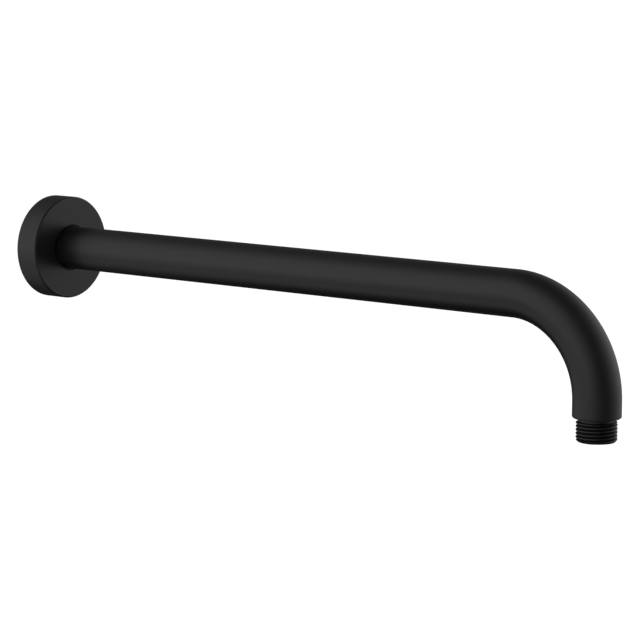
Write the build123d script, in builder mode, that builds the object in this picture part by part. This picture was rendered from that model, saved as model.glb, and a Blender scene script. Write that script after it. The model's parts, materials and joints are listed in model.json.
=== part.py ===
from build123d import *
import os

# Wall-mounted shower arm, in millimetres. A bent tube has a threaded nipple brazed into each end,
# and a round cover flange slides along it up to the wall.
# The origin is on the arm's axis in the plane of the finished wall. +X runs out along the arm, +Z is up.

# Arm tube
reach = 380.0  # wall plane to the outlet's axis
bend_radius = 50.0  # on the tube's centreline
outlet_leg = 8.5  # straight tube below the bend
tube_diameter = 25.0
tube_wall = 1.5
tube_setback = 3.0  # wall plane to the tube's rear end, inside the flange
tube_edge_round = 0.9  # outer edge at the outlet

# Threaded nipples, with the G 1/2 thread left plain at its major diameter
thread_diameter = 20.955
outlet_thread_length = 12.0  # tube end to the nipple's end face
inlet_thread_length = 16.0
thread_chamfer = 0.9  # at the nipple's end face
thread_run_in = 0.4  # chamfer beside the run-out groove
relief_diameter = 18.0  # run-out groove next to the tube end
relief_width = 1.7
waterway_diameter = 14.0
waterway_chamfer = 0.6
inlet_plug_length = 14.0  # plain plug inside the tube
outlet_plug_setback = 1.0  # outlet plug's inner end to the start of the bend
braze_gap = 0.05  # radial, between plug and tube

# Cover flange, a turned cup with a hub
flange_diameter = 60.0
flange_depth = 15.0
flange_wall = 2.0
flange_face = 3.0
flange_edge_chamfer = 1.0
slide_clearance = 0.3  # radial, between flange and tube
mouth_gap = 1.1  # radial, round the tube where the grip ring shows
mouth_depth = 0.8  # front face to the grip ring's groove
hub_depth = 9.0  # from the front face inwards
hub_wall = 2.2  # outside the grip ring's groove

# Rubber grip ring in its groove behind the flange's mouth, in its squeezed form
ring_thickness = 1.8  # radial
ring_width = 2.0  # along the tube
ring_chamfer = 0.5  # inner edges, which ride up on the tube's end
ring_gap = 0.1  # to the tube and to each wall of the groove

tube_radius = tube_diameter / 2
tube_bore_radius = tube_radius - tube_wall
drop = bend_radius + outlet_leg  # arm's axis down to the tube's lower end

os.makedirs("parts", exist_ok=True)


def threaded_nipple(label, tube_end, outward, across, thread_length, plug_length):
    """A turned nipple with a plug inside the tube, a run-out groove, a thread and a waterway.

    It is revolved about the outward axis through the centre of the tube's end face.
    """
    plug_radius = tube_bore_radius - braze_gap
    relief_radius = relief_diameter / 2
    thread_radius = thread_diameter / 2
    waterway_radius = waterway_diameter / 2
    section_plane = Plane(origin=tube_end, x_dir=across, z_dir=Vector(across).cross(Vector(outward)))
    with BuildPart() as nipple:
        with BuildSketch(section_plane):
            with BuildLine():
                Polyline(
                    (waterway_radius, -plug_length),
                    (plug_radius, -plug_length),
                    (plug_radius, 0),
                    (relief_radius, 0),
                    (relief_radius, relief_width),
                    (thread_radius - thread_run_in, relief_width),
                    (thread_radius, relief_width + thread_run_in),
                    (thread_radius, thread_length - thread_chamfer),
                    (thread_radius - thread_chamfer, thread_length),
                    (waterway_radius + waterway_chamfer, thread_length),
                    (waterway_radius, thread_length - waterway_chamfer),
                    close=True,
                )
            make_face()
        revolve(axis=Axis(tube_end, outward))
    nipple.part.label = label
    export_step(nipple.part, f"parts/{label}.step")


# Arm tube: a ring swept along the straight run, the bend and the short leg down to the outlet
with BuildPart() as arm_tube:
    with BuildLine(Plane.XZ) as centreline:
        run = Line((tube_setback, 0), (reach - bend_radius, 0))
        bend = JernArc(start=run @ 1, tangent=run % 1, radius=bend_radius, arc_size=-90)
        Line(bend @ 1, (reach, -drop))
    with BuildSketch(Plane.YZ.offset(tube_setback)):
        Circle(tube_radius)
        Circle(tube_bore_radius, mode=Mode.SUBTRACT)
    sweep()
    outlet_end = arm_tube.faces().sort_by(Axis.Z)[0]
    fillet(outlet_end.outer_wire().edges(), tube_edge_round)
arm_tube.part.label = "arm_tube"
export_step(arm_tube.part, "parts/arm_tube.step")


# Nipples: the inlet screws into the wall, and the outlet takes the shower head
threaded_nipple(
    "inlet_nipple",
    tube_end=(tube_setback, 0, 0),
    outward=(-1, 0, 0),
    across=(0, 0, 1),
    thread_length=inlet_thread_length,
    plug_length=inlet_plug_length,
)
threaded_nipple(
    "outlet_nipple",
    tube_end=(reach, 0, -drop),
    outward=(0, 0, -1),
    across=(1, 0, 0),
    thread_length=outlet_thread_length,
    plug_length=outlet_leg - outlet_plug_setback,
)


# Cover flange: half its section, from the rear rim round the outside and back through the bore
flange_radius = flange_diameter / 2
cup_radius = flange_radius - flange_wall
cup_floor = flange_depth - flange_face
bore_radius = tube_radius + slide_clearance
mouth_radius = tube_radius + mouth_gap
groove_radius = tube_radius + ring_thickness + 2 * ring_gap
groove_front = flange_depth - mouth_depth
groove_rear = groove_front - ring_width - 2 * ring_gap
hub_rear = flange_depth - hub_depth
hub_radius = groove_radius + hub_wall

with BuildPart() as wall_flange:
    with BuildSketch(Plane.XZ) as flange_section:
        with BuildLine():
            Polyline(
                (0, flange_radius),
                (flange_depth, flange_radius),
                (flange_depth, mouth_radius),
                (groove_front, mouth_radius),
                (groove_front, groove_radius),
                (groove_rear, groove_radius),
                (groove_rear, bore_radius),
                (hub_rear, bore_radius),
                (hub_rear, hub_radius),
                (cup_floor, hub_radius),
                (cup_floor, cup_radius),
                (0, cup_radius),
                close=True,
            )
        make_face()
        front_edge = flange_section.vertices().sort_by_distance((flange_depth, flange_radius))[0]
        chamfer(front_edge, flange_edge_chamfer)
    revolve(axis=Axis.X)
wall_flange.part.label = "wall_flange"
export_step(wall_flange.part, "parts/wall_flange.step")


# Grip ring: a flat rubber ring that fills its groove and holds the flange where it is put on the tube
ring_middle = (groove_front + groove_rear) / 2
with BuildPart() as grip_ring:
    with BuildSketch(Plane.XZ) as ring_section:
        with Locations((ring_middle, tube_radius + ring_gap + ring_thickness / 2)):
            Rectangle(ring_width, ring_thickness)
        chamfer(ring_section.vertices().group_by(Axis.Y)[0], ring_chamfer)
    revolve(axis=Axis.X)
grip_ring.part.label = "grip_ring"
export_step(grip_ring.part, "parts/grip_ring.step")
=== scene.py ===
"""Looks of a wall-mounted shower arm in satin black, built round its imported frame.

The arm is a bent tube with a threaded nipple brazed into each end. A round cover flange, with a rubber
grip ring in its hub, slides on the tube. Lengths are in metres and +X runs out of the wall.
"""

from __future__ import annotations

import json
import logging
import math
from collections.abc import Callable, Iterable, Mapping, Sequence
from dataclasses import dataclass
from enum import Enum
from typing import Any, Union

import bmesh
import bpy
from mathutils import Euler, Matrix, Vector

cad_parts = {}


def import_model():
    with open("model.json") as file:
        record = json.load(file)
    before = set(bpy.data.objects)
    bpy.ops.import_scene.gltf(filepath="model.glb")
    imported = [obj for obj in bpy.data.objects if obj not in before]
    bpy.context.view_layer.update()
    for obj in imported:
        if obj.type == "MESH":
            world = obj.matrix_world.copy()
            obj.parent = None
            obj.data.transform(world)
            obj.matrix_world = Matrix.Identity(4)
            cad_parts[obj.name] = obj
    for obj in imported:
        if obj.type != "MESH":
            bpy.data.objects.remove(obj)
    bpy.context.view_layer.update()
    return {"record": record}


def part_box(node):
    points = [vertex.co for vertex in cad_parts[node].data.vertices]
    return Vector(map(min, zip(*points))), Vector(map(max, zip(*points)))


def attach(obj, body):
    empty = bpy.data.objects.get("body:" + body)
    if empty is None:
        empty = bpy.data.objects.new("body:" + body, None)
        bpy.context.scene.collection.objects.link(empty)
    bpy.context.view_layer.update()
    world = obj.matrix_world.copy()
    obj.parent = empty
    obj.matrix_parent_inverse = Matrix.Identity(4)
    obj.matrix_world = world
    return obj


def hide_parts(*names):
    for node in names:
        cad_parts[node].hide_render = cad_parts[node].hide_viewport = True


LOG = logging.getLogger("shower_arm")
MM = 0.001
INCH = 25.4 * MM
# Points nearer to each other than this are one point.
WELD = 0.001 * MM
# Edges that turn by more than this stay sharp.
SMOOTH_ANGLE = math.radians(40)
# Average of a noise pattern, about which a finish swings.
NOISE_MEAN = 0.5
# Place of the waterway's finish among a piece's materials, after the coat.
LINING_SLOT = 1
# Point that the lamps face and that the tent stands round.
ARM_MIDDLE = (0.19, 0.0, 0.0)

# What a node's input takes: a link, a value, or a colour or vector.
Feed = Union["Wire", float, Sequence[float]]
# A question about the place of a point.
PlaceTest = Callable[[Vector], bool]


class Wire:
    """One output socket of a node tree, which adds Math nodes when it is used in arithmetic."""

    def __init__(self, board: NodeBoard, socket: bpy.types.NodeSocket) -> None:
        """Hold a socket.

        Args:
            board: The node tree that the socket is in.
            socket: The output socket.
        """
        self.board = board
        self.socket = socket

    def _math(self, operation: str, first: Feed, second: Feed) -> Wire:
        """Add one Math node.

        Args:
            operation: The node's operation.
            first: The first value or link.
            second: The second value or link.

        Returns:
            The node's output.
        """
        return self.board.node("ShaderNodeMath", {"operation": operation}, {0: first, 1: second})

    def __add__(self, other: Feed) -> Wire:
        """Add a value or another wire."""
        return self._math("ADD", self, other)

    def __radd__(self, other: Feed) -> Wire:
        """Add this wire to a value."""
        return self._math("ADD", other, self)

    def __sub__(self, other: Feed) -> Wire:
        """Take a value or another wire away."""
        return self._math("SUBTRACT", self, other)

    def __rsub__(self, other: Feed) -> Wire:
        """Take this wire away from a value."""
        return self._math("SUBTRACT", other, self)

    def __mul__(self, other: Feed) -> Wire:
        """Multiply by a value or another wire."""
        return self._math("MULTIPLY", self, other)

    def __rmul__(self, other: Feed) -> Wire:
        """Multiply a value by this wire."""
        return self._math("MULTIPLY", other, self)

    def __or__(self, other: Wire) -> Wire:
        """Take the larger of two masks."""
        return self._math("MAXIMUM", self, other)


class NodeBoard:
    """The node tree of one material or world."""

    def __init__(self, owner: bpy.types.Material | bpy.types.World) -> None:
        """Start with an empty tree.

        Args:
            owner: The material or world that holds the tree.
        """
        owner.use_nodes = True
        self.tree = owner.node_tree
        self.tree.nodes.clear()

    def node(
        self,
        kind: str,
        settings: Mapping[str, Any],
        sockets: Mapping[int | str, Feed],
        output: int | str = 0,
    ) -> Wire | None:
        """Add a node, set it up and link it.

        Args:
            kind: The node's type.
            settings: Properties of the node, set before its sockets.
            sockets: The value of or the link to each named or numbered input.
            output: The output that is wanted.

        Returns:
            That output as a wire, or None for a node without outputs.
        """
        made = self.tree.nodes.new(kind)
        for key, value in settings.items():
            setattr(made, key, value)
        for key, feed in sockets.items():
            if isinstance(feed, Wire):
                self.tree.links.new(feed.socket, made.inputs[key])
            else:
                made.inputs[key].default_value = feed
        return Wire(self, made.outputs[output]) if made.outputs else None

    def grain(self, size: float, detail: float, stretch: Vector | None = None) -> Wire:
        """Add a noise pattern on the piece's own coordinates.

        Args:
            size: Size of one grain.
            detail: Number of finer layers in the noise.
            stretch: Scale of the pattern along each axis, for drawn or turned marks.

        Returns:
            The noise's value, about NOISE_MEAN on average.
        """
        place = self.node("ShaderNodeTexCoord", {}, {}, "Object")
        if stretch is not None:
            place = self.node("ShaderNodeMapping", {}, {"Vector": place, "Scale": stretch})
        sockets = {"Vector": place, "Scale": 1 / size, "Detail": detail}
        return self.node("ShaderNodeTexNoise", {}, sockets)

    def mix_colour(self, factor: Feed, first: Feed, second: Feed) -> Wire:
        """Mix two colours.

        Args:
            factor: Share of the second colour.
            first: The first colour.
            second: The second colour.

        Returns:
            The mixed colour.
        """
        # A Mix node's sockets for colours come after those for values and vectors, under the same names.
        sockets = {0: factor, 6: first, 7: second}
        return self.node("ShaderNodeMix", {"data_type": "RGBA"}, sockets, 2)

    def relief(self, pattern: Wire, height: float) -> Wire:
        """Turn a pattern into fine relief.

        Args:
            pattern: The pattern.
            height: Height of the relief.

        Returns:
            The normal of the relief.
        """
        return self.node("ShaderNodeBump", {}, {"Strength": 1.0, "Distance": height, "Height": pattern})

    def dress(self, surface: Mapping[str, Feed]) -> None:
        """End a material in one Principled shader.

        Args:
            surface: The values or links of the shader's sockets.
        """
        shader = self.node("ShaderNodeBsdfPrincipled", {}, surface)
        self.node("ShaderNodeOutputMaterial", {}, {0: shader})

    def seen(self) -> Wire:
        """Tell the rays that show the surroundings from those that light the object.

        Returns:
            1 for rays from the camera and in gloss or glass, and 0 for the others.
        """
        camera, glossy, through = (
            self.node("ShaderNodeLightPath", {}, {}, name)
            for name in ("Is Camera Ray", "Is Glossy Ray", "Is Transmission Ray")
        )
        return camera | glossy | through


def grey(level: float) -> tuple[float, float, float, float]:
    """Give an opaque neutral colour of that level."""
    return (level, level, level, 1.0)


@dataclass(frozen=True)
class SatinCoat:
    """A satin black coat on brass: a fine even grain with faint clouds in its gloss.

    Attributes:
        name: Name of the material.
        deep: Colour at one end of the clouds.
        pale: Colour at their other end.
        roughness: Roughness on average.
        cloud_swing: Swing of the roughness over the clouds.
        grain_swing: Swing of the roughness over the grain.
        cloud_size: Size of one cloud.
        cloud_detail: Finer layers in the clouds.
        grain_size: Size of one grain.
        grain_detail: Finer layers in the grain.
        grain_height: Height of the grain.
    """

    name: str = "satin_black_coat"
    deep: tuple[float, ...] = (0.0038, 0.0038, 0.0040, 1.0)
    pale: tuple[float, ...] = (0.0054, 0.0054, 0.0056, 1.0)
    roughness: float = 0.35
    cloud_swing: float = 0.05
    grain_swing: float = 0.06
    cloud_size: float = 18 * MM
    cloud_detail: float = 3.0
    grain_size: float = 0.45 * MM
    grain_detail: float = 2.0
    grain_height: float = 0.006 * MM

    def material(self) -> bpy.types.Material:
        """Make the coat's material.

        Returns:
            The new material.
        """
        made = bpy.data.materials.new(self.name)
        board = NodeBoard(made)
        cloud = board.grain(self.cloud_size, self.cloud_detail)
        grain = board.grain(self.grain_size, self.grain_detail)
        swing = (cloud - NOISE_MEAN) * self.cloud_swing + (grain - NOISE_MEAN) * self.grain_swing
        board.dress(
            {
                "Base Color": board.mix_colour(cloud, self.deep, self.pale),
                "Roughness": self.roughness + swing,
                "Normal": board.relief(grain, self.grain_height),
            }
        )
        return made


class MarkLay(Enum):
    """The way that marks lie on bare metal, as the pattern's scale along X, Y and Z."""

    DRAWN_ALONG_X = (0.02, 1.0, 1.0)
    TURNED_ABOUT_X = (1.0, 0.03, 0.03)
    TURNED_ABOUT_Z = (0.03, 0.03, 1.0)


@dataclass(frozen=True)
class BareBrass:
    """Bare brass in the waterway, with the marks of its making and a little tarnish.

    Attributes:
        lay: The way that the marks lie.
        name: Start of the material's name.
        bright: Colour of clean brass.
        tarnished: Colour of tarnished brass.
        roughness: Roughness on average.
        mark_swing: Swing of the roughness over the marks.
        mark_size: Width of one mark.
        mark_detail: Finer layers in the marks.
        mark_height: Height of the marks.
        tarnish_size: Size of one patch of tarnish.
        tarnish_detail: Finer layers in the tarnish.
    """

    lay: MarkLay
    name: str = "bare_brass"
    bright: tuple[float, ...] = (0.62, 0.42, 0.17, 1.0)
    tarnished: tuple[float, ...] = (0.33, 0.20, 0.08, 1.0)
    roughness: float = 0.30
    mark_swing: float = 0.22
    mark_size: float = 0.35 * MM
    mark_detail: float = 2.0
    mark_height: float = 0.004 * MM
    tarnish_size: float = 6 * MM
    tarnish_detail: float = 4.0

    def material(self) -> bpy.types.Material:
        """Make the brass's material.

        Returns:
            The new material.
        """
        made = bpy.data.materials.new(f"{self.name}_{self.lay.name.lower()}")
        board = NodeBoard(made)
        tarnish = board.grain(self.tarnish_size, self.tarnish_detail)
        marks = board.grain(self.mark_size, self.mark_detail, Vector(self.lay.value))
        board.dress(
            {
                "Base Color": board.mix_colour(tarnish, self.bright, self.tarnished),
                "Metallic": 1.0,
                "Roughness": self.roughness + (marks - NOISE_MEAN) * self.mark_swing,
                "Normal": board.relief(marks, self.mark_height),
            }
        )
        return made


@dataclass(frozen=True)
class MouldedRubber:
    """Dull black rubber with a faint bloom.

    Attributes:
        name: Name of the material.
        black: Colour of the clean rubber.
        bloom: Colour of the bloom.
        roughness: Roughness on average.
        bloom_swing: Swing of the roughness over the bloom.
        bloom_size: Size of one patch of bloom.
        bloom_detail: Finer layers in the bloom.
        grain_size: Size of one grain.
        grain_detail: Finer layers in the grain.
        grain_height: Height of the grain.
    """

    name: str = "moulded_rubber"
    black: tuple[float, ...] = (0.012, 0.012, 0.012, 1.0)
    bloom: tuple[float, ...] = (0.030, 0.030, 0.031, 1.0)
    roughness: float = 0.72
    bloom_swing: float = 0.14
    bloom_size: float = 1.6 * MM
    bloom_detail: float = 4.0
    grain_size: float = 0.15 * MM
    grain_detail: float = 2.0
    grain_height: float = 0.008 * MM

    def material(self) -> bpy.types.Material:
        """Make the rubber's material.

        Returns:
            The new material.
        """
        made = bpy.data.materials.new(self.name)
        board = NodeBoard(made)
        bloom = board.grain(self.bloom_size, self.bloom_detail)
        grain = board.grain(self.grain_size, self.grain_detail)
        board.dress(
            {
                "Base Color": board.mix_colour(bloom, self.black, self.bloom),
                "Roughness": self.roughness + (bloom - NOISE_MEAN) * self.bloom_swing,
                "Normal": board.relief(grain, self.grain_height),
            }
        )
        return made


@dataclass(frozen=True)
class Corner:
    """One corner of a turned piece's section.

    Attributes:
        along: Place along the axis.
        radius: Distance from the axis.
        rounding: Radius of the corner's own round, or 0 for a sharp corner.
    """

    along: float
    radius: float
    rounding: float = 0.0

    def point(self) -> Vector:
        """Give the corner as a point of the section's plane."""
        return Vector((self.radius, 0.0, self.along))


@dataclass(frozen=True)
class Section:
    """The closed half section of a turned piece, with its axis on Z.

    Attributes:
        corners: The corners in order.
        round_steps: Straight steps in each corner's round.
        hold: Distance from each round to a loop that keeps the flat beside it flat.
    """

    corners: Sequence[Corner]
    round_steps: int = 6
    hold: float = 0.12 * MM

    def _rounded(self, before: Vector, corner: Corner, after: Vector) -> list[Vector]:
        """Work out the points of one corner.

        Args:
            before: The corner before it.
            corner: The corner itself.
            after: The corner after it.

        Returns:
            The corner alone if it is sharp, or else its arc between two holding points.
        """
        tip = corner.point()
        if not corner.rounding:
            return [tip]
        back = (before - tip).normalized()
        on = (after - tip).normalized()
        half_angle = back.angle(on) / 2
        tangent = corner.rounding / math.tan(half_angle)
        centre = tip + (back + on).normalized() * corner.rounding / math.sin(half_angle)
        first = tip + back * tangent - centre
        last = tip + on * tangent - centre
        steps = range(self.round_steps + 1)
        arc = [centre + first.slerp(last, step / self.round_steps) * corner.rounding for step in steps]
        return [arc[0] + back * self.hold, *arc, arc[-1] + on * self.hold]

    def outline(self) -> list[Vector]:
        """Work out all the points of the section.

        Returns:
            The points in order, with the first one not repeated.
        """
        points: list[Vector] = []
        for index, corner in enumerate(self.corners):
            before = self.corners[index - 1].point()
            after = self.corners[(index + 1) % len(self.corners)].point()
            points.extend(self._rounded(before, corner, after))
        return points


class Workpiece:
    """A mesh on the bench, which is shaped with Blender's own modelling operators."""

    def __init__(self, name: str) -> None:
        """Take the object that was added last, in edit mode, all of it selected.

        Args:
            name: Name of the piece.
        """
        self.piece = bpy.context.object
        self.piece.name = name
        self.piece.data.name = name
        bpy.ops.object.transform_apply(location=True, rotation=True, scale=True)
        bpy.ops.object.mode_set(mode="EDIT")
        bpy.ops.mesh.select_all(action="SELECT")

    @classmethod
    def turned(cls, name: str, section: Section, steps: int) -> Workpiece:
        """Draw a section point by point and spin it about Z.

        Args:
            name: Name of the piece.
            section: The closed half section.
            steps: Steps in the full turn.

        Returns:
            The spun piece, in edit mode.
        """
        outline = section.outline()
        bpy.ops.object.select_all(action="DESELECT")
        bpy.ops.mesh.primitive_plane_add(size=MM, location=outline[0])
        made = cls(name)
        bpy.ops.mesh.merge(type="CENTER")
        for here, there in zip(outline, outline[1:] + outline[:1]):
            bpy.ops.mesh.extrude_vertices_move(TRANSFORM_OT_translate={"value": there - here})
        made.weld()
        bpy.ops.mesh.spin(steps=steps, angle=math.tau, center=(0, 0, 0), axis=(0, 0, 1))
        made.weld()
        return made

    @classmethod
    def ring(cls, name: str, radius: float, at: Vector, sides: int) -> Workpiece:
        """Start from a bare ring that faces along X.

        Args:
            name: Name of the piece.
            radius: Radius of the ring.
            at: Centre of the ring.
            sides: Number of sides.

        Returns:
            The ring, in edit mode.
        """
        bpy.ops.object.select_all(action="DESELECT")
        facing_x = (0, math.pi / 2, 0)
        bpy.ops.mesh.primitive_circle_add(vertices=sides, radius=radius, location=at, rotation=facing_x)
        return cls(name)

    def extrude(self, step: Vector, times: int) -> None:
        """Extrude what is selected.

        Args:
            step: The whole move.
            times: Number of equal extrusions that make it.
        """
        for _ in range(times):
            bpy.ops.mesh.extrude_region_move(TRANSFORM_OT_translate={"value": step / times})

    def weld(self) -> None:
        """Merge points that coincide, turn all faces outwards and leave everything selected."""
        bpy.ops.mesh.select_all(action="SELECT")
        bpy.ops.mesh.remove_doubles(threshold=WELD)
        bpy.ops.mesh.normals_make_consistent(inside=False)

    def pick(self, test: PlaceTest) -> None:
        """Select the points that pass a test, and the edges and faces between them.

        Args:
            test: Says of a point's place whether it is picked.
        """
        bpy.ops.mesh.select_mode(type="VERT")
        bpy.ops.mesh.select_all(action="DESELECT")
        shape = bmesh.from_edit_mesh(self.piece.data)
        for point in shape.verts:
            point.select_set(test(point.co))
        shape.select_flush_mode()
        bmesh.update_edit_mesh(self.piece.data)

    def place(self, matrix: Matrix) -> None:
        """Move the finished mesh to its place in the frame, and keep the object at the origin.

        Args:
            matrix: The move from the bench.
        """
        bpy.ops.object.mode_set(mode="OBJECT")
        self.piece.matrix_world = matrix
        bpy.ops.object.transform_apply(location=True, rotation=True, scale=True)
        bpy.ops.object.mode_set(mode="EDIT")

    def coat(self, *materials: bpy.types.Material) -> None:
        """Give the piece its materials, the first of them all over.

        Args:
            materials: The materials in the order of the slots.
        """
        for material in materials:
            self.piece.data.materials.append(material)

    def line(self, test: PlaceTest) -> None:
        """Give some faces the waterway's finish.

        Args:
            test: Says of a point's place whether it is lined. A face is lined where all its points are.
        """
        self.pick(test)
        self.piece.active_material_index = LINING_SLOT
        bpy.ops.object.material_slot_assign()

    def finish(self, body: str, node: str, slot: str) -> bpy.types.Object:
        """Smooth the piece and hand it to the frame.

        Args:
            body: The body that it rides on.
            node: The solid that it stands for.
            slot: The finish in the record; not used.

        Returns:
            The finished object.
        """
        bpy.ops.object.mode_set(mode="OBJECT")
        bpy.ops.object.shade_smooth_by_angle(angle=SMOOTH_ANGLE)
        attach(self.piece, body)
        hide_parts(node)
        return self.piece


@dataclass
class BentTube:
    """The arm's hollow tube: a straight run, a quarter bend and a short leg down to the outlet.

    Attributes:
        setback: Wall plane to the tube's rear end.
        reach: Wall plane to the outlet's axis.
        drop: Arm's axis down to the tube's lower end.
        radius: Outer radius.
        bend_radius: Radius of the bend on the centreline.
        wall: Thickness of the wall.
        edge_round: Round of the lower end's outer edge.
        sides: Sides of the tube's ring.
        run_steps: Steps along the straight run.
        bend_steps: Steps round the bend.
        leg_steps: Steps down the leg.
        round_steps: Steps in the lower edge's round.
    """

    setback: float
    reach: float
    drop: float
    radius: float
    bend_radius: float = 50 * MM
    wall: float = 1.5 * MM
    edge_round: float = 0.9 * MM
    sides: int = 128
    run_steps: int = 24
    bend_steps: int = 64
    leg_steps: int = 6
    round_steps: int = 8

    @classmethod
    def from_frame(cls, outlet: Mapping[str, Any]) -> BentTube:
        """Read the tube's size from its solid and the outlet's mount.

        Args:
            outlet: The mount in the record.

        Returns:
            The tube, ready to build.
        """
        low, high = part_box("arm_tube")
        return cls(setback=low.x, reach=outlet["pos_m"][0], drop=-low.z, radius=high.z)

    def end(self) -> Vector:
        """Give the centre of the lower end."""
        return Vector((self.reach, 0, -self.drop))

    def _round_lower_edge(self, tube: Workpiece) -> None:
        """Bevel the outer edge of the lower end.

        Args:
            tube: The walled tube.
        """
        end = self.end()
        least_radius = self.radius - self.wall / 2

        def on_edge(place: Vector) -> bool:
            """Tell whether a point lies on the outer edge."""
            return abs(place.z - end.z) < WELD and (place - end).length > least_radius

        tube.pick(on_edge)
        bpy.ops.mesh.bevel(offset=self.edge_round, segments=self.round_steps, affect="EDGES")

    def build(self, coat: bpy.types.Material, lining: bpy.types.Material) -> bpy.types.Object:
        """Model and dress the tube.

        Args:
            coat: Finish of the outside.
            lining: Finish of the waterway.

        Returns:
            The finished tube.
        """
        bend_start = self.reach - self.bend_radius
        tube = Workpiece.ring("coated_tube", self.radius, Vector((self.setback, 0, 0)), self.sides)
        tube.extrude(Vector((bend_start - self.setback, 0, 0)), self.run_steps)
        bend_centre = (bend_start, 0, -self.bend_radius)
        bpy.ops.mesh.spin(steps=self.bend_steps, angle=math.pi / 2, center=bend_centre, axis=(0, -1, 0))
        tube.extrude(Vector((0, 0, self.bend_radius - self.drop)), self.leg_steps)
        tube.weld()
        bpy.ops.object.mode_set(mode="OBJECT")
        wall = tube.piece.modifiers.new("wall", "SOLIDIFY")
        wall.thickness = self.wall
        # The skin is the outside, and the wall grows inwards from it.
        wall.offset = -1
        wall.use_even_offset = True
        tube.coat(coat, lining)
        wall.material_offset = LINING_SLOT
        bpy.ops.object.modifier_apply(modifier=wall.name)
        bpy.ops.object.mode_set(mode="EDIT")
        self._round_lower_edge(tube)
        return tube.finish("arm", "arm_tube", "satin_black")


@dataclass(frozen=True)
class PipeThread:
    """A right-hand pipe thread with flat crests and narrow roots, whose coat rounds the crests' edges.

    Attributes:
        radius: Major radius.
        first_crest: Place of a crest along the axis, at the angle start_angle.
        start_angle: Angle at which first_crest is measured.
        pitch: Distance from crest to crest, with 14 crests to the inch.
        height: Height of the ridges.
        crest: Half the width of a crest's flat.
        root: Half the width of a root's flat.
        ease: Power of the flanks' curve, more than 1 where the crests' edges are rounded.
    """

    radius: float
    first_crest: float
    start_angle: float = 0.0
    pitch: float = INCH / 14
    height: float = 1.16 * MM
    crest: float = 0.24 * MM
    root: float = 0.04 * MM
    ease: float = 1.3

    def depth_at(self, along: float, angle: float) -> float:
        """Work out how deep the surface lies under the crests.

        Args:
            along: Place along the axis, outwards.
            angle: Angle about the axis.

        Returns:
            The depth.
        """
        turns = (along - self.first_crest) / self.pitch - (angle - self.start_angle) / math.tau
        from_crest = abs(turns - round(turns)) * self.pitch
        flank = self.pitch / 2 - self.crest - self.root
        share = min(max((from_crest - self.crest) / flank, 0.0), 1.0)
        return self.height * share**self.ease


@dataclass
class ThreadedNipple:
    """A turned nipple: a plug in the tube, a run-out groove, a pipe thread and the waterway.

    It is turned with its axis on Z, the tube's end at 0 and the thread upwards.

    Attributes:
        name: Name of the piece.
        node: The solid that it stands for.
        thread_length: Tube end to the nipple's end face.
        plug_length: Length of the plug inside the tube.
        thread: The thread's form.
        place: The move from the bench to the frame.
        lay: The way that the tool marks lie in the waterway.
        plug_radius: Radius of the plug.
        relief_radius: Radius of the run-out groove.
        relief_width: Width of the run-out groove.
        relief_round: Round of the groove's corners.
        run_in: Chamfer of the thread beside the groove.
        end_chamfer: Chamfer of the thread at the end face.
        waterway_radius: Radius of the waterway.
        waterway_chamfer: Chamfer of the waterway at the end face.
        rows_per_pitch: Rows of points along one turn of the thread.
        sides: Steps in the full turn.
    """

    name: str
    node: str
    thread_length: float
    plug_length: float
    thread: PipeThread
    place: Matrix
    lay: MarkLay
    plug_radius: float = 10.95 * MM
    relief_radius: float = 9.0 * MM
    relief_width: float = 1.7 * MM
    relief_round: float = 0.2 * MM
    run_in: float = 0.4 * MM
    end_chamfer: float = 0.9 * MM
    waterway_radius: float = 7.0 * MM
    waterway_chamfer: float = 0.6 * MM
    rows_per_pitch: int = 24
    sides: int = 144

    def _blank(self) -> Workpiece:
        """Turn the blank, with fine rows where the thread is cut.

        Returns:
            The blank, in edit mode.
        """
        inner_end = -self.plug_length
        blank = Section(
            (
                Corner(inner_end, self.waterway_radius),
                Corner(inner_end, self.plug_radius),
                Corner(0, self.plug_radius),
                Corner(0, self.relief_radius, self.relief_round),
                Corner(self.relief_width, self.relief_radius, self.relief_round),
                *self._thread_rows(),
                Corner(self.thread_length, self.waterway_radius + self.waterway_chamfer),
                Corner(self.thread_length - self.waterway_chamfer, self.waterway_radius),
            )
        )
        return Workpiece.turned(self.name, blank, self.sides)

    def _band(self) -> float:
        """Give the radius of the blank where the thread is cut."""
        return self.thread.radius - self.end_chamfer

    def _thread_rows(self) -> Iterable[Corner]:
        """Give evenly spaced points along the thread.

        Yields:
            The points, from the groove to the end face.
        """
        length = self.thread_length - self.relief_width
        rows = round(length / self.thread.pitch * self.rows_per_pitch)
        for row in range(rows + 1):
            yield Corner(self.relief_width + length * row / rows, self._band())

    def _cut_thread(self, nipple: Workpiece) -> None:
        """Move the rows of the blank to the thread's form, under the chamfers at both ends.

        Args:
            nipple: The blank.
        """
        shape = bmesh.from_edit_mesh(nipple.piece.data)
        for point in shape.verts:
            around = Vector((point.co.x, point.co.y, 0))
            along = point.co.z
            if abs(around.length - self._band()) > WELD or along < self.relief_width - WELD:
                continue
            depth = max(
                self.thread.depth_at(along, math.atan2(point.co.y, point.co.x)),
                self.run_in - (along - self.relief_width),
                self.end_chamfer - (self.thread_length - along),
            )
            point.co = around.normalized() * (self.thread.radius - depth) + Vector((0, 0, along))
        bmesh.update_edit_mesh(nipple.piece.data)

    def build(self, coat: bpy.types.Material) -> bpy.types.Object:
        """Model and dress the nipple.

        Args:
            coat: Finish of the outside.

        Returns:
            The finished nipple.
        """
        nipple = self._blank()
        self._cut_thread(nipple)
        nipple.coat(coat, BareBrass(self.lay).material())
        nipple.line(lambda place: Vector(place[:2]).length < self.waterway_radius + WELD)
        nipple.place(self.place)
        return nipple.finish("arm", self.node, "satin_black")


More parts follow.
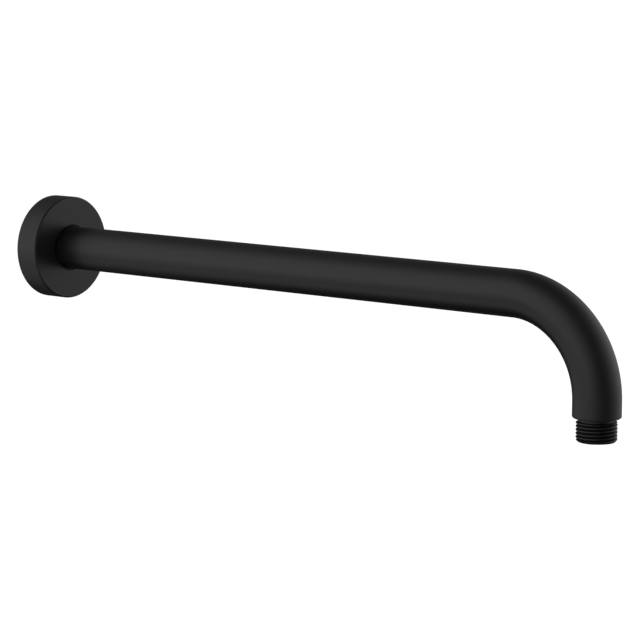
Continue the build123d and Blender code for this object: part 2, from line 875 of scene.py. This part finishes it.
@dataclass
class CoverFlange:
    """The cover flange: a turned cup with a hub, and a grip ring in a groove behind its mouth.

    Attributes:
        radius: Outer radius.
        front: Front face, from the wall plane.
        tube_radius: Radius of the tube that it slides on.
        ring_low: Rear of the grip ring, from the wall plane.
        ring_high: Front of the grip ring.
        ring_outer: Outer radius of the grip ring.
        clearance: Gap between the bore and the tube.
        mouth_gap: Gap between the mouth and the tube, in which the ring shows.
        wall: Thickness of the cup's side.
        face: Thickness of the front.
        hub_depth: Length of the hub, from the front inwards.
        hub_wall: Thickness of the hub outside the groove.
        ring_gap: Gap between the ring and its groove.
        ring_seat: Gap between the ring and the tube that it grips, too narrow to let light through.
        edge_chamfer: Chamfer of the front edge.
        edge_round: Round of the chamfer's own edges.
        mouth_round: Round of the mouth's edge and the bore's.
        rim_round: Round of the rear rim and the hub's end.
        cup_round: Round in the cup's corners.
        ring_round: Round of the ring's outer edges.
        ring_lead: Round of the ring's inner edges.
        sides: Steps in the full turn.
    """

    radius: float
    front: float
    tube_radius: float
    ring_low: float
    ring_high: float
    ring_outer: float
    clearance: float = 0.3 * MM
    mouth_gap: float = 1.1 * MM
    wall: float = 2.0 * MM
    face: float = 3.0 * MM
    hub_depth: float = 9.0 * MM
    hub_wall: float = 2.2 * MM
    ring_gap: float = 0.1 * MM
    ring_seat: float = 0.005 * MM
    edge_chamfer: float = 0.7 * MM
    edge_round: float = 0.06 * MM
    mouth_round: float = 0.1 * MM
    rim_round: float = 0.3 * MM
    cup_round: float = 0.8 * MM
    ring_round: float = 0.2 * MM
    ring_lead: float = 0.5 * MM
    sides: int = 160

    @classmethod
    def from_frame(cls) -> CoverFlange:
        """Read the flange's size from its own solid, the ring's and the tube's.

        Returns:
            The flange, ready to build.
        """
        _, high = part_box("wall_flange")
        ring_low, ring_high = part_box("grip_ring")
        _, tube_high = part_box("arm_tube")
        return cls(
            radius=high.y,
            front=high.x,
            tube_radius=tube_high.z,
            ring_low=ring_low.x,
            ring_high=ring_high.x,
            ring_outer=ring_high.y,
        )

    def _section(self) -> Section:
        """Set out the flange's half section.

        Returns:
            The section, from the rear rim round the outside and back through the bore.
        """
        bore = self.tube_radius + self.clearance
        mouth_radius = self.tube_radius + self.mouth_gap
        groove_radius = self.ring_outer + self.ring_gap
        groove_front = self.ring_high + self.ring_gap
        groove_rear = self.ring_low - self.ring_gap
        hub_rear = self.front - self.hub_depth
        hub_radius = groove_radius + self.hub_wall
        cup_floor = self.front - self.face
        cup_radius = self.radius - self.wall
        return Section(
            (
                Corner(0, self.radius, self.rim_round),
                Corner(self.front - self.edge_chamfer, self.radius, self.edge_round),
                Corner(self.front, self.radius - self.edge_chamfer, self.edge_round),
                Corner(self.front, mouth_radius, self.mouth_round),
                Corner(groove_front, mouth_radius, self.mouth_round),
                Corner(groove_front, groove_radius),
                Corner(groove_rear, groove_radius),
                Corner(groove_rear, bore),
                Corner(hub_rear, bore, self.mouth_round),
                Corner(hub_rear, hub_radius, self.rim_round),
                Corner(cup_floor, hub_radius, self.cup_round),
                Corner(cup_floor, cup_radius, self.cup_round),
                Corner(0, cup_radius, self.rim_round),
            )
        )

    def _ring_section(self) -> Section:
        """Set out the grip ring's half section.

        Returns:
            The section, from its rear inner edge round the outside.
        """
        ring_inner = self.tube_radius + self.ring_seat
        return Section(
            (
                Corner(self.ring_low, ring_inner, self.ring_lead),
                Corner(self.ring_low, self.ring_outer, self.ring_round),
                Corner(self.ring_high, self.ring_outer, self.ring_round),
                Corner(self.ring_high, ring_inner, self.ring_lead),
            )
        )

    def build(self, coat: bpy.types.Material, rubber: bpy.types.Material) -> list[bpy.types.Object]:
        """Model and dress the flange and its ring.

        Args:
            coat: Finish of the flange.
            rubber: Finish of the grip ring.

        Returns:
            The finished flange and ring.
        """
        along_arm = Matrix.Rotation(math.pi / 2, 4, "Y")
        flange = Workpiece.turned("coated_flange", self._section(), self.sides)
        flange.coat(coat)
        flange.place(along_arm)
        made = [flange.finish("flange", "wall_flange", "satin_black")]
        ring = Workpiece.turned("rubber_grip_ring", self._ring_section(), self.sides)
        ring.coat(rubber)
        ring.place(along_arm)
        made.append(ring.finish("flange", "grip_ring", "black_rubber"))
        return made


@dataclass
class ShowerArm:
    """The whole arm with its flange.

    Attributes:
        tube: The bent tube.
        flange: The cover flange.
        thread_radius: Major radius of both threads.
        first_crest: Tube end to a thread's first crest, at its start angle.
        outlet_start: Start angle of the outlet's thread about its axis.
    """

    tube: BentTube
    flange: CoverFlange
    thread_radius: float
    first_crest: float = 2.5 * MM
    outlet_start: float = math.radians(141.9)

    @classmethod
    def from_frame(cls, record: Mapping[str, Any]) -> ShowerArm:
        """Read the sizes from the frame.

        Args:
            record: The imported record.

        Returns:
            The arm, ready to build.
        """
        outlet = next(mount for mount in record["mounts"] if mount["name"] == "outlet")
        return cls(BentTube.from_frame(outlet), CoverFlange.from_frame(), outlet["dims"]["r_mm"] * MM)

    def _outlet(self) -> ThreadedNipple:
        """Set out the outlet nipple at the tube's lower end.

        Returns:
            The nipple, ready to build.
        """
        low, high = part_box("outlet_nipple")
        return ThreadedNipple(
            name="coated_outlet_nipple",
            node="outlet_nipple",
            thread_length=-self.tube.drop - low.z,
            plug_length=high.z + self.tube.drop,
            thread=PipeThread(self.thread_radius, self.first_crest, self.outlet_start),
            place=Matrix.Translation(self.tube.end()) @ Matrix.Rotation(math.pi, 4, "X"),
            lay=MarkLay.TURNED_ABOUT_Z,
        )

    def _inlet(self) -> ThreadedNipple:
        """Set out the inlet nipple at the tube's rear end.

        Returns:
            The nipple, ready to build.
        """
        low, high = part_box("inlet_nipple")
        rear_end = Matrix.Translation((self.tube.setback, 0, 0))
        return ThreadedNipple(
            name="coated_inlet_nipple",
            node="inlet_nipple",
            thread_length=self.tube.setback - low.x,
            plug_length=high.x - self.tube.setback,
            thread=PipeThread(self.thread_radius, self.first_crest),
            place=rear_end @ Matrix.Rotation(-math.pi / 2, 4, "Y"),
            lay=MarkLay.TURNED_ABOUT_X,
        )

    def build(self) -> list[bpy.types.Object]:
        """Model and dress every piece.

        Returns:
            The finished pieces.
        """
        coat = SatinCoat().material()
        made = [self.tube.build(coat, BareBrass(MarkLay.DRAWN_ALONG_X).material())]
        made.extend(nipple.build(coat) for nipple in (self._outlet(), self._inlet()))
        made.extend(self.flange.build(coat, MouldedRubber().material()))
        return made


@dataclass(frozen=True)
class PhotoCamera:
    """The camera at the photograph's angle.

    Attributes:
        azimuth: Angle of the camera round Z, from the side of the arm towards its outlet.
        elevation: Angle of the camera above the arm.
        aim: Point that lies in the middle of the picture.
        distance: Distance from that point.
        lens: Focal length in millimetres.
        sensor: Width of the sensor in millimetres.
    """

    azimuth: float = math.radians(38.51)
    elevation: float = math.radians(8.622)
    aim: tuple[float, float, float] = (0.12844, 0.09368, -0.04395)
    distance: float = 1.40406
    lens: float = 132.51
    sensor: float = 36.0

    def build(self) -> None:
        """Add the camera and make it the scene's own."""
        across = Vector((math.cos(self.azimuth), math.sin(self.azimuth), 0))
        level = Vector((math.sin(self.azimuth), -math.cos(self.azimuth), 0))
        towards = level * math.cos(self.elevation) + Vector((0, 0, math.sin(self.elevation)))
        upright = towards.cross(across)
        data = bpy.data.cameras.new("photo_camera")
        data.lens = self.lens
        data.sensor_width = self.sensor
        camera = bpy.data.objects.new("photo_camera", data)
        bpy.context.scene.collection.objects.link(camera)
        turn = Matrix((across, upright, towards)).transposed().to_4x4()
        camera.matrix_world = Matrix.Translation(Vector(self.aim) + towards * self.distance) @ turn
        bpy.context.scene.camera = camera


@dataclass(frozen=True)
class SoftLamp:
    """A soft lamp that lights the object and the floor, and doesn't show in gloss.

    Attributes:
        name: Name of the lamp.
        place: Where it stands.
        size: Its two sides.
        power: Its power in watts.
        target: The point that it faces.
    """

    name: str
    place: tuple[float, float, float]
    size: tuple[float, float]
    power: float
    target: tuple[float, float, float] = ARM_MIDDLE

    def build(self) -> None:
        """Add the lamp."""
        data = bpy.data.lights.new(self.name, "AREA")
        data.shape = "RECTANGLE"
        data.size, data.size_y = self.size
        data.energy = self.power
        lamp = bpy.data.objects.new(self.name, data)
        bpy.context.scene.collection.objects.link(lamp)
        lamp.location = self.place
        lamp.rotation_euler = (Vector(self.target) - Vector(self.place)).to_track_quat("-Z", "Y").to_euler()
        lamp.visible_glossy = False


@dataclass(frozen=True)
class GlossPanel:
    """A soft bright panel of the tent, which fades from its middle as a bell curve does.

    Attributes:
        azimuth: Angle of its middle round Z, from +X.
        elevation: Angle of its middle above the arm.
        spread: How far it reaches sideways, upwards and in depth, as a share of its distance.
        level: Brightness at its middle, where 1 is white.
    """

    azimuth: float
    elevation: float
    spread: tuple[float, float, float]
    level: float

    def glow(self, board: NodeBoard, direction: Wire) -> Wire:
        """Work out the panel's brightness in a direction.

        Args:
            board: The tent's nodes.
            direction: Unit vector from the arm to a place on the tent.

        Returns:
            The brightness.
        """
        turn = Euler((math.pi / 2 - self.elevation, 0, self.azimuth + math.pi / 2))
        middle = turn.to_matrix() @ Vector((0, 0, 1))
        sockets = {"Vector": direction, "Location": middle, "Rotation": turn, "Scale": self.spread}
        from_middle = board.node("ShaderNodeMapping", {"vector_type": "TEXTURE"}, sockets)
        distance = board.node("ShaderNodeVectorMath", {"operation": "LENGTH"}, {0: from_middle}, "Value")
        fall = board.node("ShaderNodeMath", {"operation": "EXPONENT"}, {0: distance * distance * -0.5})
        return fall * self.level


@dataclass(frozen=True)
class GlossTent:
    """A dark studio tent with soft panels, which shows only in the object's gloss.

    Attributes:
        panels: The bright panels.
        radius: Radius of the tent.
        bottom: Height of its flat bottom, just above the floor.
        centre: The point that it stands round.
        sides: Sides of the tent's round.
        rows: Rows of faces from its top to its bottom.
    """

    panels: Sequence[GlossPanel]
    radius: float = 4.0
    bottom: float = -0.43
    centre: tuple[float, float, float] = ARM_MIDDLE
    sides: int = 96
    rows: int = 48

    def _lining(self) -> bpy.types.Material:
        """Make the lining, which glows where the panels are.

        Returns:
            The new material.
        """
        made = bpy.data.materials.new("tent_lining")
        # It shows in gloss alone, so it isn't sampled as a lamp.
        made.cycles.emission_sampling = "NONE"
        board = NodeBoard(made)
        place = board.node("ShaderNodeTexCoord", {}, {}, "Object")
        direction = board.node("ShaderNodeVectorMath", {"operation": "NORMALIZE"}, {0: place})
        first, *others = (panel.glow(board, direction) for panel in self.panels)
        glow = {"Color": grey(1), "Strength": sum(others, first)}
        board.node("ShaderNodeOutputMaterial", {}, {0: board.node("ShaderNodeEmission", {}, glow)})
        return made

    def build(self) -> bpy.types.Object:
        """Put up the tent.

        Returns:
            The tent.
        """
        bpy.ops.object.select_all(action="DESELECT")
        bpy.ops.mesh.primitive_uv_sphere_add(
            segments=self.sides, ring_count=self.rows, radius=self.radius, location=self.centre
        )
        tent = bpy.context.object
        tent.name = "gloss_tent"
        for point in tent.data.vertices:
            point.co.z = max(point.co.z, self.bottom)
        tent.data.materials.append(self._lining())
        tent.visible_camera = False
        tent.visible_diffuse = False
        tent.visible_transmission = False
        tent.visible_shadow = False
        return tent


@dataclass(frozen=True)
class Studio:
    """A white studio: a pale floor well below the arm, white surroundings, soft lamps and a tent.

    Attributes:
        lamps: The lamps.
        tent: The tent that shapes the gloss.
        floor_height: Height of the floor.
        floor_side: Side of the floor.
        floor_colour: The floor's grey.
        floor_fill: Light that brings the lit floor up to white where it is seen.
        ambient: Light of the surroundings on the object.
    """

    lamps: Sequence[SoftLamp]
    tent: GlossTent
    floor_height: float = -0.45
    floor_side: float = 80.0
    floor_colour: float = 0.85
    floor_fill: float = 0.62
    ambient: float = 0.5

    def _floor(self) -> bpy.types.Object:
        """Lay the floor.

        Returns:
            The floor.
        """
        bpy.ops.object.select_all(action="DESELECT")
        bpy.ops.mesh.primitive_plane_add(size=self.floor_side, location=(0, 0, self.floor_height))
        floor = bpy.context.object
        floor.name = "pale_floor"
        made = bpy.data.materials.new("pale_floor")
        board = NodeBoard(made)
        paint = board.node("ShaderNodeBsdfDiffuse", {}, {"Color": grey(self.floor_colour)})
        fill = {"Color": grey(1), "Strength": board.seen() * self.floor_fill}
        both = {0: paint, 1: board.node("ShaderNodeEmission", {}, fill)}
        board.node("ShaderNodeOutputMaterial", {}, {0: board.node("ShaderNodeAddShader", {}, both)})
        floor.data.materials.append(made)
        return floor

    def _surroundings(self) -> None:
        """Make the surroundings white where they are seen, and a plain soft light elsewhere."""
        world = bpy.data.worlds.new("white_surroundings")
        bpy.context.scene.world = world
        board = NodeBoard(world)
        strength = board.seen() * (1 - self.ambient) + self.ambient
        glow = board.node("ShaderNodeBackground", {}, {"Color": grey(1), "Strength": strength})
        board.node("ShaderNodeOutputWorld", {}, {0: glow})

    def build(self) -> None:
        """Set up the floor, the surroundings, the lamps and the tent."""
        bpy.context.scene.view_settings.view_transform = "Standard"
        self._surroundings()
        self._floor()
        self.tent.build()
        for lamp in self.lamps:
            lamp.build()


STUDIO = Studio(
    lamps=(
        SoftLamp("left_softbox", place=(-0.7, -1.3, 1.2), size=(1.2, 0.9), power=14.0),
        SoftLamp("right_softbox", place=(1.4, 0.9, 1.0), size=(1.0, 0.8), power=8.0),
    ),
    tent=GlossTent(
        (
            # High on the camera's left
            GlossPanel(
                azimuth=math.radians(-119.8),
                elevation=math.radians(34.7),
                spread=(0.786, 0.385, 0.489),
                level=0.782,
            ),
            # Level with the arm on the camera's left
            GlossPanel(
                azimuth=math.radians(-117.0),
                elevation=math.radians(-3.0),
                spread=(1.401, 0.262, 0.364),
                level=0.656,
            ),
            # Low on the camera's left
            GlossPanel(
                azimuth=math.radians(-100.2),
                elevation=math.radians(-49.4),
                spread=(1.379, 0.242, 0.337),
                level=0.534,
            ),
            # Behind the arm on the camera's right
            GlossPanel(
                azimuth=math.radians(58.6),
                elevation=math.radians(13.6),
                spread=(0.562, 0.461, 0.504),
                level=0.928,
            ),
            # Weak, on the wall's side, for the side of the leg that faces the wall
            GlossPanel(
                azimuth=math.radians(177.0),
                elevation=math.radians(-12.0),
                spread=(0.2, 0.15, 0.18),
                level=0.18,
            ),
        )
    ),
)


def main() -> None:
    """Build the arm and its studio."""
    logging.basicConfig(level=logging.INFO, format="%(name)s: %(message)s")
    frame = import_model()
    for piece in ShowerArm.from_frame(frame["record"]).build():
        LOG.info("%s has %d faces", piece.name, len(piece.data.polygons))
    PhotoCamera().build()
    STUDIO.build()


if __name__ == "__main__":
    main()
